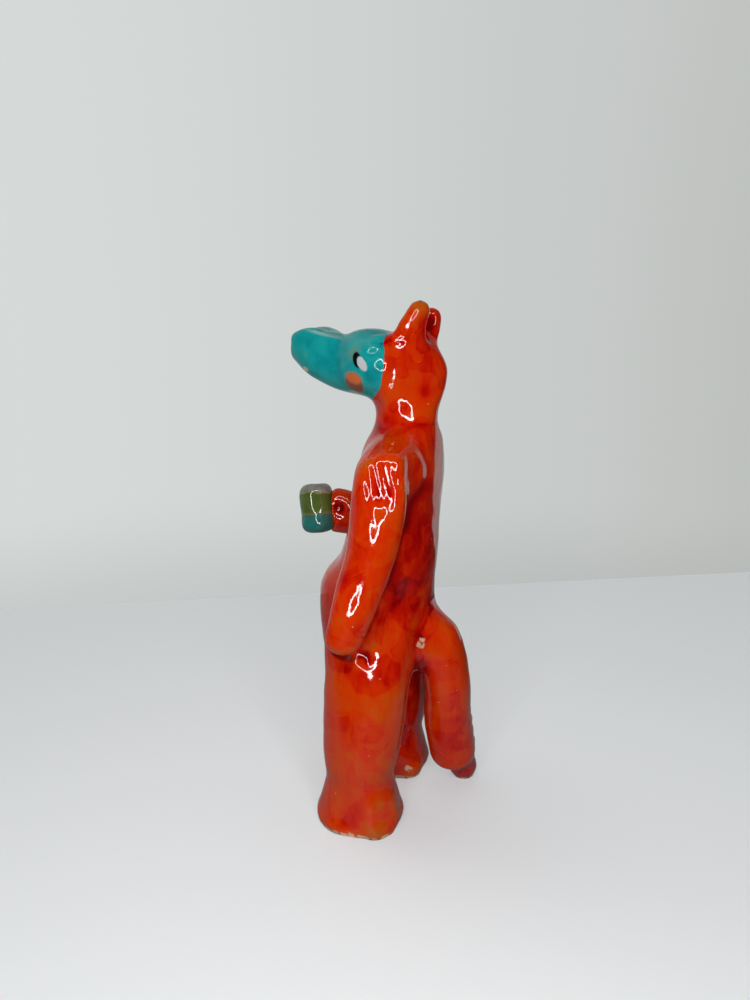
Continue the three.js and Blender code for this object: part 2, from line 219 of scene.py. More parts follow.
# the head is turned a little to the left on a narrow neck, and the hood was pressed narrower towards the
# back: places along the head in mm, and the width kept there
HEAD_MIDDLE = -1.24
HEAD_TURN = 0.25           # how far the hood goes to the right for each mm towards the back
TURN_FROM = 9.0            # where along the head the turn sets in
TURN_SOFT = 2.0            # and how gently
NECK_WIDTH = 0.76
NECK_HEIGHT = (160.0, 174.0)   # the neck narrows over these heights
HEAD_HEIGHT = (173.0, 187.0)   # neck turns into head
CROWN_HEIGHT = (196.0, 214.0)  # the pressed hood comes back to its full width
TAPER_AT = (-4.0, 2.0, 6.0, 9.0, 13.0, 18.0, 23.0, 28.0)
TAPER = (1.0, 1.0, 1.02, 1.05, 0.90, 0.73, 0.60, 0.52)
# pats of a flat hand: where, which way the clay faces afterwards, how wide in mm and how flat
PATS = (
    ((7.9, 28.8, 80.3), (0.70, 0.68, 0.22), 8.0, 0.6),
    ((24.0, 25.0, 155.5), (0.50, 0.85, 0.12), 9.5, 0.2),
    ((13.5, 28.0, 153.5), (0.34, 0.94, 0.02), 9.0, 0.0),
    ((36.4, 17.5, 157.0), (0.94, 0.33, 0.11), 11.0, 0.68),
    ((41.4, 15.2, 131.5), (0.935, 0.34, 0.05), 12.0, 0.0),
    ((27.0, 12.0, 88.0), (0.76, 0.62, 0.18), 8.5, 0.3),
    ((31.2, 5.0, 79.0), (0.84, 0.33, 0.43), 5.2, -1.2),
    ((-7.6, 11.0, 7.0), (0.92, 0.38, 0.02), 7.0, 0.8),
    ((9.6, 6.6, 205.0), (0.94, 0.33, 0.08), 3.6, 0.6),
    ((12.0, 4.6, 201.0), (0.95, 0.31, 0.05), 2.8, 0.8),
    ((12.6, 8.0, 195.5), (0.95, 0.31, 0.07), 2.8, 0.8),
    ((7.8, 20.5, 213.4), (0.955, 0.29, 0.03), 4.5, -0.3),
    ((38.4, 8.0, 9.0), (0.99, 0.02, 0.14), 11.0, 0.7),
    ((31.4, 18.0, 9.0), (0.62, 0.76, 0.16), 9.0, 0.7),
)
# thumb marks: where, how wide and how deep, in mm; clay pushed up has a negative depth
THUMBS = (
    ((11.8, 1.0, 199.0), 9.0, -0.7), ((10.4, 5.5, 203.5), 8.0, -1.0), ((12.4, 6.5, 195.0), 7.0, -0.6),
    ((-15.0, 1.0, 199.0), 9.0, -0.7), ((-13.6, 5.5, 203.5), 8.0, -1.0),
    ((-19.1, -24.0, 126.5), 8.5, 2.4), ((4.8, 25.0, 207.5), 8.0, 1.6), ((4.9, 25.6, 212.0), 7.0, 1.4),
    ((-2.7, 25.5, 206.0), 11.0, 1.6),
    ((-23.6, 3.0, 34.0), 56.0, -2.4),
    ((29.5, -4.0, 80.0), 5.5, 2.0), ((31.6, -0.5, 80.3), 5.5, 2.0),
)
# the hanging hand was pushed up, back and out a little, in mm, and twisted backwards; the push and the
# lift each fade out over a range of heights
HAND_LIFT = 3.0
HAND_BACK = 2.6
HAND_OUT = 2.5
HAND_TWIST = 0.25
HAND_MIDDLE = 8.0
HAND_PUSHED = (98.0, 122.0)
HAND_LIFTED = (88.0, 112.0)
# finger wipes down the left shoulder: middle, reach, spacing and height, in mm
WIPED = ((36.9, 17.0, 153.0), 11.0, 3.7, 0.15)
WIPE_SLANT = 0.25
# finger dents over the whole skin: width and height in mm, and where in the noise each begins
WAVES = ((21.0, 0.50, (3, 5, 8)), (9.0, 0.20, (31, 7, 3)), (4.0, 0.05, (13, 2, 21)))
HOOD_EVENED = 0.5          # share of these dents that the hood lost again

high = clay[:, 2] / MM
taper = np.mean([np.interp(clay[:, 1] / MM + step, TAPER_AT, TAPER) for step in (-1, 0, 1)], axis=0)
head = ease(*HEAD_HEIGHT, high)
taper = head * (taper - 1.0) * (1.0 - ease(*CROWN_HEIGHT, high)) + (1.0 - head) * (NECK_WIDTH - 1.0)
out = (clay[:, 0] / MM - HEAD_MIDDLE) * (1.0 + taper * ease(*NECK_HEIGHT, high))
out -= HEAD_TURN * head * TURN_SOFT * np.logaddexp(0.0, (clay[:, 1] / MM - TURN_FROM) / TURN_SOFT)
clay[:, 0] = (HEAD_MIDDLE + out) * MM
hand = belongs[:, CLAY_PIECES.index("left_arm")] * MM
below = hand * (1.0 - ease(*HAND_PUSHED, high))
clay[:, 0] += below * (HAND_OUT - HAND_TWIST * (clay[:, 1] / MM - HAND_MIDDLE))
clay[:, 1] += below * HAND_BACK
clay[:, 2] += hand * HAND_LIFT * (1.0 - ease(*HAND_LIFTED, high))


PAT_FACING = (0.2, 0.6)    # how squarely clay has to face the hand before a pat moves it


def patted(mesh, points, pats):
    """The points after each pat has turned its patch to face the hand, and flattened it by that much."""
    outward = skin_normals(mesh, points)
    for middle, facing, width, flatness in pats:
        facing = np.array(facing) / np.linalg.norm(facing)
        apart = np.linalg.norm(points / MM - np.array(middle), axis=1)
        press = np.exp(-(apart / width) ** 4) * ease(*PAT_FACING, outward @ facing)
        before = press @ outward / np.linalg.norm(press @ outward)
        offset = points - press @ points / press.sum()
        kept = (1.0 - flatness) * (before @ facing) * (offset @ before)
        points = points - facing * (press * (offset @ facing - kept))[:, None]
    return points


clay = patted(skin, clay, PATS)
normals = skin_normals(skin, clay)
for middle, width, depth in THUMBS:
    apart = np.linalg.norm(clay / MM - np.array(middle), axis=1)
    clay = clay - normals * (depth * MM * np.exp(-(2.0 * apart / width) ** 2))[:, None]
middle, width, spacing, height = WIPED
apart = clay / MM - np.array(middle)
fade = np.exp(-(np.linalg.norm(apart, axis=1) / width) ** 2)
furrows = np.cos(2.0 * math.pi * (apart[:, 1] + WIPE_SLANT * apart[:, 2]) / spacing)
clay = clay + normals * (height * MM * fade * furrows)[:, None]
wave = np.zeros(len(clay))
for row, point in enumerate(clay):
    spot = Vector(point) / MM
    for width, height, start in WAVES:
        wave[row] += height * noise.noise(spot / width + Vector(start))
wave *= 1.0 - HOOD_EVENED * belongs[:, CLAY_PIECES.index("hood")]
clay = clay + normals * (wave * MM)[:, None]
clay[flat_sole, 2] = 0.0
clay[:, 2] = np.maximum(clay[:, 2], 0.0)

# seams that were scored and never quite smeared shut: the piece, and how deep the crease is in mm
SCORED = (("hood", 0.28), ("tail", 0.34))
SCORE_LENGTH = 4.0         # length of the stretches that stayed open, in mm
SCORE_OPEN = (-0.25, 0.2)
SCORE_START = Vector((7, 1, 2))
FACE_CLEAR = 0.05          # points with more of the face than this keep no crease
for name, depth in SCORED:
    share = belongs[:, CLAY_PIECES.index(name)]
    worked = np.array([noise.noise(Vector(point) / MM / SCORE_LENGTH + SCORE_START) for point in clay])
    crease = (4.0 * share * (1.0 - share)) ** 3 * ease(*SCORE_OPEN, worked)
    crease[belongs[:, CLAY_PIECES.index("face")] > FACE_CLEAR] = 0.0
    clay = clay - normals * (crease * depth * MM)[:, None]

# the line where face and hood meet is drawn smooth
BRIM_ROUNDS = 12
on_face = np.zeros(len(clay), bool)
on_hood = np.zeros(len(clay), bool)
for polygon, piece in zip(skin.polygons, face_owner):
    if CLAY_PIECES[piece] == "face":
        on_face[list(polygon.vertices)] = True
    elif CLAY_PIECES[piece] in ("hood", "left_ear", "right_ear"):
        on_hood[list(polygon.vertices)] = True
brim = on_face & on_hood
brim_edges = edges[brim[edges[:, 0]] & brim[edges[:, 1]]]
brim_points = np.unique(brim_edges)
renumber = np.full(len(clay), -1)
renumber[brim_points] = np.arange(len(brim_points))
clay[brim_points] = relaxed(clay[brim_points], renumber[brim_edges], 1.0, BRIM_ROUNDS)
normals = skin_normals(skin, clay)
rim = belongs[:, CLAY_PIECES.index("face")]
rim = 4.0 * rim * (1.0 - rim)

# how deep each point lies under the smoothed form: glaze runs off ridges and pools in hollows
BROAD_ROUNDS = 60
POOLING = 1.5
RUNNING_OFF = 0.42
broad = relaxed(clay, edges, 1.0, BROAD_ROUNDS)
hollow = np.einsum("ij,ij->i", broad - clay, normals) / MM
hollow = np.where(hollow > 0.0, POOLING * hollow, RUNNING_OFF * hollow)

# how closed in each point is: the deepest creases are painted darker, as painted shade together with the
# glaze that gathers there
CREASE_REACH = 9.0 * MM
CREASE_START = 0.4 * MM
CREASE_ROUNDS = 6
CREASE_RAYS = [Vector((0, 0, 1))] + [
    Vector((0.8 * math.cos(turn), 0.8 * math.sin(turn), 0.6)) for turn in np.arange(6) * math.pi / 3]
skin_tree = BVHTree.FromPolygons([Vector(point) for point in clay], [p.vertices for p in skin.polygons])
crease = np.zeros(len(clay))
for row, (point, outward) in enumerate(zip(clay, normals)):
    outward = Vector(outward)
    spin = outward.to_track_quat("Z", "Y")
    start = Vector(point) + outward * CREASE_START
    blocked = [skin_tree.ray_cast(start, spin @ ray, CREASE_REACH)[3] is not None for ray in CREASE_RAYS]
    crease[row] = sum(blocked) / len(CREASE_RAYS)
crease = relaxed(crease[:, None], edges, 1.0, CREASE_ROUNDS)[:, 0]
# painted shade under the hanging hand, where it nearly meets the hip, together with glaze pooled there:
# middle and half sizes in mm, how deep the shade is, and where its edge fades
UNDER_HAND = ((29.8, -2.6, 77.8), (6.5, 9.8, 2.5))
UNDER_HAND_SHADE = 0.35
UNDER_HAND_EDGE = (0.5, 1.15)
away = np.linalg.norm((clay / MM - np.array(UNDER_HAND[0])) / np.array(UNDER_HAND[1]), axis=1)
crease = np.maximum(crease, UNDER_HAND_SHADE * (1.0 - ease(*UNDER_HAND_EDGE, away)))

# how heavily each piece was brushed with glaze, running on softly over the joints; the pieces on the figure's
# right, away from the lamp, get more, which is painted shade
BRUSHED_AND_SHADED = {
    "torso": 0.58, "left_leg": 0.40, "right_leg": 0.68, "left_foot": 0.33, "right_foot": 0.55, "tail": 0.50,
    "hood": 0.44, "face": 0.5, "left_ear": 0.57, "right_ear": 0.62, "left_arm": 0.49, "right_arm": 0.60,
}
# broad strokes that went over twice: where, half sizes in mm, and how much more glaze they left; the two
# under the hanging hand and the one at the tail's tip are painted shade
STROKES_AND_SHADES = (
    ((31.4, 12.0, 72.0), (12.0, 13.0, 8.5), 0.28), ((18.4, 22.0, 100.0), (9.0, 7.0, 12.0), 0.18),
    ((10.4, 24.0, 130.0), (12.0, 6.0, 30.0), 0.16), ((7.4, 30.0, 84.0), (8.0, 5.0, 14.0), -0.06),
    ((8.4, 27.0, 193.0), (9.0, 6.0, 16.0), 0.14), ((35.4, 2.0, 46.0), (8.0, 4.0, 9.0), 0.12),
    ((34.4, 16.0, 26.0), (8.0, 6.0, 12.0), -0.12), ((28.4, 16.0, 90.0), (10.0, 7.0, 8.0), -0.14),
    ((41.4, 8.0, 110.0), (8.0, 6.0, 16.0), 0.12), ((31.0, 1.0, 80.5), (7.0, 9.0, 2.4), 0.35),
    ((12.0, 25.5, 95.0), (9.0, 6.0, 9.0), -0.16), ((22.0, 17.0, 109.0), (8.0, 5.0, 12.0), 0.2),
    ((4.0, 37.0, 30.0), (10.0, 9.0, 13.0), 0.2), ((-20.0, 40.0, 7.0), (13.0, 12.0, 8.0), 0.35),
    ((29.5, -4.0, 75.5), (8.0, 9.5, 5.0), 0.28),
)
COAT_ROUNDS = 40
STROKE_EDGE = (0.86, 1.06)
SHAKE_LENGTH = 5.0         # in mm
SHAKE = 0.22
coat_and_shade = np.array([[BRUSHED_AND_SHADED[name]] for name in CLAY_PIECES])[owner]
coat_and_shade = relaxed(coat_and_shade, edges, 1.0, COAT_ROUNDS)[:, 0]
shaky = np.array([noise.noise(Vector(point) / MM / SHAKE_LENGTH) for point in clay])
for middle, halves, more in STROKES_AND_SHADES:
    away = np.linalg.norm((clay / MM - np.array(middle)) / np.array(halves), axis=1) + SHAKE * shaky
    coat_and_shade = coat_and_shade + more * (1.0 - ease(*STROKE_EDGE, away))

# the inner side of the right ear, in the shade of the left ear, is painted deeper red: painted shade
INNER_FACING = 0.1
INNER_SHADE = 0.3
INNER_ROUNDS = 4
inner = (owner == CLAY_PIECES.index("right_ear")) & (normals[:, 0] > INNER_FACING)
coat_and_shade = coat_and_shade + INNER_SHADE * relaxed(inner.astype(float)[:, None], edges, 1.0, INNER_ROUNDS)[:, 0]

# spots the brush missed: where and how wide, in mm; the edge of the soles was wiped bare
MISSED = (((11.0, 25.7, 79.7), 4.8), ((-8.8, 14.5, 5.1), 4.2), ((28.9, 14.0, 1.0), 3.0))
MISSED_EDGE = (0.25, 0.75)
WIPED_SOLE = 1.5
SOLE_EDGE = (0.6, 1.4)
SEAM_LIP = 1.6 * MM        # how far each piece turns in under its neighbour
bare = 1.0 - ease(SOLE_EDGE[0] * WIPED_SOLE, SOLE_EDGE[1] * WIPED_SOLE, clay[:, 2] / MM)
for middle, width in MISSED:
    apart = np.linalg.norm(clay / MM - np.array(middle), axis=1)
    bare = np.maximum(bare, 1.0 - ease(MISSED_EDGE[0] * width, MISSED_EDGE[1] * width, apart))


def cut_free(name, material):
    """One piece of the clay body as a closed object of its own, with the glaze running on over the seam."""
    wanted = CLAY_PIECES.index(name)
    body = bmesh.new()
    made = {}
    for face in np.nonzero(face_owner == wanted)[0]:
        ring = []
        for index in skin.polygons[int(face)].vertices:
            if index not in made:
                made[index] = body.verts.new(clay[index])
            ring.append(made[index])
        body.faces.new(ring).smooth = True
    lip = bmesh.ops.extrude_edge_only(body, edges=[e for e in body.edges if e.is_boundary])["geom"]
    body.normal_update()
    outside = {vertex: index for index, vertex in made.items()}
    for vertex in [v for v in lip if isinstance(v, bmesh.types.BMVert)]:
        seam = [e.other_vert(vertex) for e in vertex.link_edges if e.other_vert(vertex) in outside][0]
        vertex.co -= Vector(normals[outside[seam]]) * SEAM_LIP
    cap = bmesh.ops.holes_fill(body, edges=[e for e in body.edges if e.is_boundary], sides=0)["faces"]
    bmesh.ops.poke(body, faces=cap)
    bmesh.ops.recalc_face_normals(body, faces=body.faces)
    mesh = bpy.data.meshes.new(name + "_glazed")
    body.to_mesh(mesh)
    body.free()
    order = list(made)
    hidden = len(mesh.vertices) - len(order)
    mesh.normals_split_custom_set_from_vertices([tuple(normals[i]) for i in order] + [(0, 0, 0)] * hidden)
    layers = {"hollow": hollow, "coat_and_shade": coat_and_shade, "rim": rim, "bare": bare, "crease": crease}
    for label, values in layers.items():
        layer = mesh.attributes.new(label, "FLOAT", "POINT")
        layer.data.foreach_set("value", np.append(values[order], np.zeros(hidden)))
    mesh.materials.append(material)
    piece = bpy.data.objects.new(name + "_glazed", mesh)
    bpy.context.scene.collection.objects.link(piece)
    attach(piece, "root")
    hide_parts(name)
    return piece


# Red suit
# Torso, limbs, tail, hood and ears are brushed with one red glaze and fired.
# It is orange where the brush left it thin, deep red where it pooled, and bare under the soles; creases, the
# hip under the hanging hand and the far side are painted darker as painted shade.

GLAZE_IOR = 1.5


def linear(code):
    """A colour written as an sRGB hex value, in linear light."""
    parts = [int(code[i:i + 2], 16) / 255 for i in (1, 3, 5)]
    return [c / 12.92 if c <= 0.04045 else ((c + 0.055) / 1.055) ** 2.4 for c in parts] + [1.0]


def add(tree, kind, settings=None, links=None):
    """One shader node with its settings, and its sockets linked or set."""
    made = tree.nodes.new(kind)
    for key, value in (settings or {}).items():
        setattr(made, key, value)
    for socket, value in (links or {}).items():
        if isinstance(value, bpy.types.NodeSocket):
            tree.links.new(value, made.inputs[socket])
        else:
            made.inputs[socket].default_value = value
    return made


def graded(ramp, stops):
    """A colour ramp given its stops, each a place and a colour."""
    points = ramp.color_ramp.elements
    points.remove(points[1])
    points[0].position = stops[0][0]
    points[0].color = linear(stops[0][1])
    for place, code in stops[1:]:
        points.new(place).color = linear(code)


# red glaze: a glassy coat over brushed colour, so it shows sharp lamp reflections, orange ridges and dark
# pools, with faint brush streaks, painted shade in creases and a few pinholes whose pale specks are partly
# painted glints
red = bpy.data.materials.new("red_glaze")
red.use_nodes = True
tree = red.node_tree
tree.nodes.clear()
place = add(tree, "ShaderNodeTexCoord").outputs["Object"]
pooled = add(tree, "ShaderNodeAttribute", {"attribute_name": "hollow"}).outputs["Fac"]
brushed_and_shaded = add(tree, "ShaderNodeAttribute", {"attribute_name": "coat_and_shade"}).outputs["Fac"]
patches = add(tree, "ShaderNodeTexNoise", None,
              {"Vector": place, "Scale": 1000 / 13, "Detail": 4.0, "Roughness": 0.55, "Distortion": 0.8})
drawn = add(tree, "ShaderNodeMapping", None,
            {"Vector": place, "Scale": (1.0, 1.0, 0.2), "Rotation": (0.3, 0.0, 0.0)})
streaks = add(tree, "ShaderNodeTexNoise", None,
              {"Vector": drawn.outputs[0], "Scale": 1000 / 3.2, "Detail": 3.0, "Roughness": 0.6})
depth = add(tree, "ShaderNodeMath", {"operation": "MULTIPLY_ADD"}, {0: pooled, 1: 0.8, 2: brushed_and_shaded})
depth = add(tree, "ShaderNodeMath", {"operation": "MULTIPLY_ADD"},
            {0: patches.outputs["Fac"], 1: 0.55, 2: depth.outputs[0]})
overlap = add(tree, "ShaderNodeTexNoise", None,
              {"Vector": place, "Scale": 1000 / 17, "Detail": 3.0, "Roughness": 0.45, "Distortion": 1.4})
step = add(tree, "ShaderNodeMapRange", {"interpolation_type": "SMOOTHSTEP"},
           {"Value": overlap.outputs["Fac"], "From Min": 0.47, "From Max": 0.52,
            "To Min": -0.07, "To Max": 0.07})
depth = add(tree, "ShaderNodeMath", {"operation": "ADD"}, {0: depth.outputs[0], 1: step.outputs[0]})
edge = add(tree, "ShaderNodeMath", {"operation": "SUBTRACT"}, {0: overlap.outputs["Fac"], 1: 0.53})
edge = add(tree, "ShaderNodeMath", {"operation": "ABSOLUTE"}, {0: edge.outputs[0]})
edge = add(tree, "ShaderNodeMapRange", {"interpolation_type": "SMOOTHSTEP"},
           {"Value": edge.outputs[0], "From Min": 0.0, "From Max": 0.02, "To Min": 0.13, "To Max": 0.0})
often = add(tree, "ShaderNodeMapRange", {"interpolation_type": "SMOOTHSTEP"},
            {"Value": patches.outputs["Fac"], "From Min": 0.42, "From Max": 0.58})
depth = add(tree, "ShaderNodeMath", {"operation": "MULTIPLY_ADD"},
            {0: edge.outputs[0], 1: often.outputs[0], 2: depth.outputs[0]})
depth = add(tree, "ShaderNodeMath", {"operation": "MULTIPLY_ADD"},
            {0: streaks.outputs["Fac"], 1: 0.5, 2: depth.outputs[0]})
depth = add(tree, "ShaderNodeMath", {"operation": "SUBTRACT"}, {0: depth.outputs[0], 1: 0.525})
tone = add(tree, "ShaderNodeValToRGB", None, {0: depth.outputs[0]})
graded(tone, ((0.0, "#B8520E"), (0.16, "#CA4204"), (0.42, "#CE2E01"), (0.64, "#C21600"), (0.82, "#AC0400"),
              (1.0, "#860000")))
# painted shade: the crease layer mixes the glaze towards dark red in creases and under the hanging hand
crease_shade = add(tree, "ShaderNodeAttribute", {"attribute_name": "crease"}).outputs["Fac"]
crease_shade = add(tree, "ShaderNodeMapRange", {"interpolation_type": "SMOOTHSTEP"},
               {"Value": crease_shade, "From Min": 0.07, "From Max": 0.42, "To Max": 0.92})
tone = add(tree, "ShaderNodeMix", {"data_type": "RGBA"},
           {"Factor": crease_shade.outputs[0], 6: tone.outputs[0], 7: linear("#5E0000")})
ragged = add(tree, "ShaderNodeTexNoise", None, {"Vector": place, "Scale": 1000 / 2.4, "Detail": 4.0})
missed = add(tree, "ShaderNodeAttribute", {"attribute_name": "bare"}).outputs["Fac"]
missed = add(tree, "ShaderNodeMath", {"operation": "MULTIPLY_ADD"},
             {0: ragged.outputs["Fac"], 1: 2.6, 2: missed})
missed = add(tree, "ShaderNodeMapRange", {"interpolation_type": "SMOOTHSTEP"},
             {"Value": missed.outputs[0], "From Min": 1.85, "From Max": 2.3, "To Max": 0.8})
# pinholes: pale specks that are partly bare clay and partly painted glints, and small pits in the bump
pits_and_glints = add(tree, "ShaderNodeTexVoronoi", None, {"Vector": place, "Scale": 1000 / 4.5})
some = add(tree, "ShaderNodeSeparateColor", None, {"Color": pits_and_glints.outputs["Color"]})
some = add(tree, "ShaderNodeMath", {"operation": "GREATER_THAN"}, {0: some.outputs[0], 1: 0.62})
pits_and_glints = add(tree, "ShaderNodeMapRange", None,
           {"Value": pits_and_glints.outputs["Distance"], "From Min": 0.04, "From Max": 0.075,
            "To Min": 0.6, "To Max": 0.0})
pits_and_glints = add(tree, "ShaderNodeMath", {"operation": "MULTIPLY"}, {0: pits_and_glints.outputs[0], 1: some.outputs[0]})
missed = add(tree, "ShaderNodeMath", {"operation": "MAXIMUM"}, {0: missed.outputs[0], 1: pits_and_glints.outputs[0]})
body = add(tree, "ShaderNodeMix", {"data_type": "RGBA"},
           {"Factor": missed.outputs[0], 6: tone.outputs[2], 7: linear("#CDB595")})
dull = add(tree, "ShaderNodeMapRange", None, {"Value": missed.outputs[0], "To Min": 0.06, "To Max": 0.45})
peel = add(tree, "ShaderNodeTexNoise", None, {"Vector": place, "Scale": 1000 / 2.6, "Detail": 2.0})
ripple = add(tree, "ShaderNodeBump", None,
             {"Strength": 0.3, "Distance": 0.12 * MM, "Height": peel.outputs["Fac"]})
ripple = add(tree, "ShaderNodeBump", {"invert": True},
             {"Strength": 0.5, "Distance": 0.2 * MM, "Height": pits_and_glints.outputs[0], "Normal": ripple.outputs[0]})
glass = add(tree, "ShaderNodeBsdfPrincipled", None,
            {"Base Color": body.outputs[2], "Roughness": dull.outputs[0], "IOR": GLAZE_IOR,
             "Specular IOR Level": 0.5, "Normal": ripple.outputs[0]})
add(tree, "ShaderNodeOutputMaterial", None, {"Surface": glass.outputs[0]})

for name in CLAY_PIECES:
    if name != "face":
        cut_free(name, red)

# Face
# The snout and brow are one tapering roll with a lifted nose, brushed with teal glaze.
# Eyes and cheek spots are painted on each side before firing.

# painted spots, seen from the side: middle (y, z), half sizes and tilt, colour, edge softness
PAINTED = (
    ((-3.2, 200.0), (2.6, 2.2), 35.0, "#5E8F80", 0.8),
    ((-19.3, 206.9), (7.0, 0.6), -14.0, "#7FB0A8", 0.6),
    ((-1.1, 197.0), (1.9, 3.3), 20.0, "#0C0F10", 0.12),
    ((0.9, 195.7), (1.75, 3.1), 30.0, "#BFC4C8", 0.12),
    ((-3.9, 187.4), (4.2, 4.3), 0.0, "#7C4A2C", 0.25),
    ((-3.7, 189.8), (3.7, 2.4), -12.0, "#CE6A36", 0.3),
    ((-27.4, 192.4), (1.2, 1.2), 0.0, "#B9B39C", 0.4),
)

# teal glaze: the same glassy coat over blue-green, browner and thinner on ridges and along the hood
teal = bpy.data.materials.new("teal_glaze")
teal.use_nodes = True
tree = teal.node_tree
tree.nodes.clear()
place = add(tree, "ShaderNodeTexCoord").outputs["Object"]
pooled = add(tree, "ShaderNodeAttribute", {"attribute_name": "hollow"}).outputs["Fac"]
brim = add(tree, "ShaderNodeAttribute", {"attribute_name": "rim"}).outputs["Fac"]
patches = add(tree, "ShaderNodeTexNoise", None,
              {"Vector": place, "Scale": 1000 / 7, "Detail": 4.0, "Distortion": 0.5})
cloudy = add(tree, "ShaderNodeMapRange", None,
             {"Value": patches.outputs["Fac"], "From Min": 0.32, "From Max": 0.68,
              "To Min": 0.2, "To Max": 0.74})
depth = add(tree, "ShaderNodeMath", {"operation": "MULTIPLY_ADD"}, {0: pooled, 1: 0.28, 2: cloudy.outputs[0]})
tone = add(tree, "ShaderNodeValToRGB", None, {0: depth.outputs[0]})
graded(tone, ((0.05, "#4C9A90"), (0.2, "#1E9C9A"), (0.42, "#149899"), (0.66, "#0A8A90"), (0.92, "#066A70")))
shaky = add(tree, "ShaderNodeTexNoise", None, {"Vector": place, "Scale": 1000 / 2.2, "Detail": 3.0})
worn = add(tree, "ShaderNodeMath", {"operation": "MULTIPLY_ADD"}, {0: shaky.outputs["Fac"], 1: 0.6, 2: brim})
worn = add(tree, "ShaderNodeMapRange", {"interpolation_type": "SMOOTHSTEP"},
           {"Value": worn.outputs[0], "From Min": 1.0, "From Max": 1.35, "To Max": 0.8})
body = add(tree, "ShaderNodeMix", {"data_type": "RGBA"},
           {"Factor": worn.outputs[0], 6: tone.outputs[0], 7: linear("#8A4A22")})
for (y, z), (wide, tall), tilt, colour, soft in PAINTED:
    dab = add(tree, "ShaderNodeMapping", {"vector_type": "TEXTURE"},
              {"Vector": place, "Location": (0.0, y * MM, z * MM), "Rotation": (math.radians(tilt), 0.0, 0.0),
               "Scale": (1.0, wide * MM, tall * MM)})
    away = add(tree, "ShaderNodeVectorMath", {"operation": "LENGTH"}, {0: dab.outputs[0]})
    away = add(tree, "ShaderNodeMath", {"operation": "MULTIPLY_ADD"},
               {0: shaky.outputs["Fac"], 1: 0.5, 2: away.outputs["Value"]})
    away = add(tree, "ShaderNodeMapRange", {"interpolation_type": "SMOOTHSTEP"},
               {"Value": away.outputs[0], "From Min": 1.25 - soft, "From Max": 1.25 + soft,
                "To Min": 1.0, "To Max": 0.0})
    body = add(tree, "ShaderNodeMix", {"data_type": "RGBA"},
               {"Factor": away.outputs[0], 6: body.outputs[2], 7: linear(colour)})
peel = add(tree, "ShaderNodeTexNoise", None, {"Vector": place, "Scale": 1000 / 2.6, "Detail": 2.0})
ripple = add(tree, "ShaderNodeBump", None,
             {"Strength": 0.3, "Distance": 0.12 * MM, "Height": peel.outputs["Fac"]})
glass = add(tree, "ShaderNodeBsdfPrincipled", None,
            {"Base Color": body.outputs[2], "Roughness": 0.06, "IOR": GLAZE_IOR, "Specular IOR Level": 0.5,
             "Normal": ripple.outputs[0]})
add(tree, "ShaderNodeOutputMaterial", None, {"Surface": glass.outputs[0]})
cut_free("face", teal)

# Cup
# A small tumbler of solid clay with soft edges, held out in the right hand.
# It is dipped and brushed in three bands that meet in wavy lines.

CUP_HEIGHT = 22.6 * MM
CUP_LEAN = math.radians(9.0)     # forwards
CUP_TIP = math.radians(12.0)     # to the figure's right
CUP_GRAIN = 0.45 * MM
CUP_SWELL = 0.3 * MM
CUP_ROUNDS = 8
CUP_PATS = (((-15.5, -34.2, 130.5), (0.88, 0.40, 0.25), 6.0, 0.5),)
CUP_DENTS = ((8.0, 0.35, (5, 1, 9)), (3.5, 0.07, (2, 8, 4)))

cup_mesh = fused(joined_pieces({"cup": CUP_SWELL}), CUP_GRAIN)
cup_clay = relaxed(skin_points(cup_mesh), skin_edges(cup_mesh), 1.0, CUP_ROUNDS)
cup_normals = skin_normals(cup_mesh, cup_clay)
dent = np.zeros(len(cup_clay))
for row, point in enumerate(cup_clay):
    for width, height, start in CUP_DENTS:
        dent[row] += height * noise.noise(Vector(point) / MM / width + Vector(start))
cup_clay = patted(cup_mesh, cup_clay + cup_normals * (dent * MM)[:, None], CUP_PATS)
skin_normals(cup_mesh, cup_clay)
cup_mesh.polygons.foreach_set("use_smooth", [True] * len(cup_mesh.polygons))
cup_mesh.name = "cup_glazed"
cup = bpy.data.objects.new("cup_glazed", cup_mesh)
bpy.context.scene.collection.objects.link(cup)

# banded glaze: grey, green and teal under one glassy coat, tan where two bands leave the clay thin
banded = bpy.data.materials.new("banded_glaze")
banded.use_nodes = True
tree = banded.node_tree
tree.nodes.clear()
place = add(tree, "ShaderNodeTexCoord").outputs["Object"]
cup_low, cup_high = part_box("cup")
cup_middle = (Vector(cup_low) + Vector(cup_high)) / 2
cup_up = Vector((-math.cos(CUP_LEAN) * math.sin(CUP_TIP), -math.sin(CUP_LEAN),
                 math.cos(CUP_LEAN) * math.cos(CUP_TIP)))
inside = add(tree, "ShaderNodeVectorMath", {"operation": "SUBTRACT"}, {0: place, 1: cup_middle})
rise = add(tree, "ShaderNodeVectorMath", {"operation": "DOT_PRODUCT"},
           {0: inside.outputs[0], 1: cup_up / CUP_HEIGHT})
wavy = add(tree, "ShaderNodeTexNoise", None, {"Vector": place, "Scale": 1000 / 6, "Detail": 2.0})
rise = add(tree, "ShaderNodeMath", {"operation": "MULTIPLY_ADD"},
           {0: wavy.outputs["Fac"], 1: 0.16, 2: rise.outputs["Value"]})
rise = add(tree, "ShaderNodeMath", {"operation": "ADD"}, {0: rise.outputs[0], 1: 0.42})
bands = add(tree, "ShaderNodeValToRGB", None, {0: rise.outputs[0]})
graded(bands, ((0.0, "#1F7F7C"), (0.36, "#2C8A84"), (0.385, "#8C8A58"), (0.405, "#8C8A58"), (0.43, "#5E7A36"),
               (0.79, "#56702E"), (0.82, "#A39C78"), (0.86, "#90938C"), (1.0, "#8A8E88")))
cloudy = add(tree, "ShaderNodeTexNoise", None, {"Vector": place, "Scale": 1000 / 4, "Detail": 4.0})
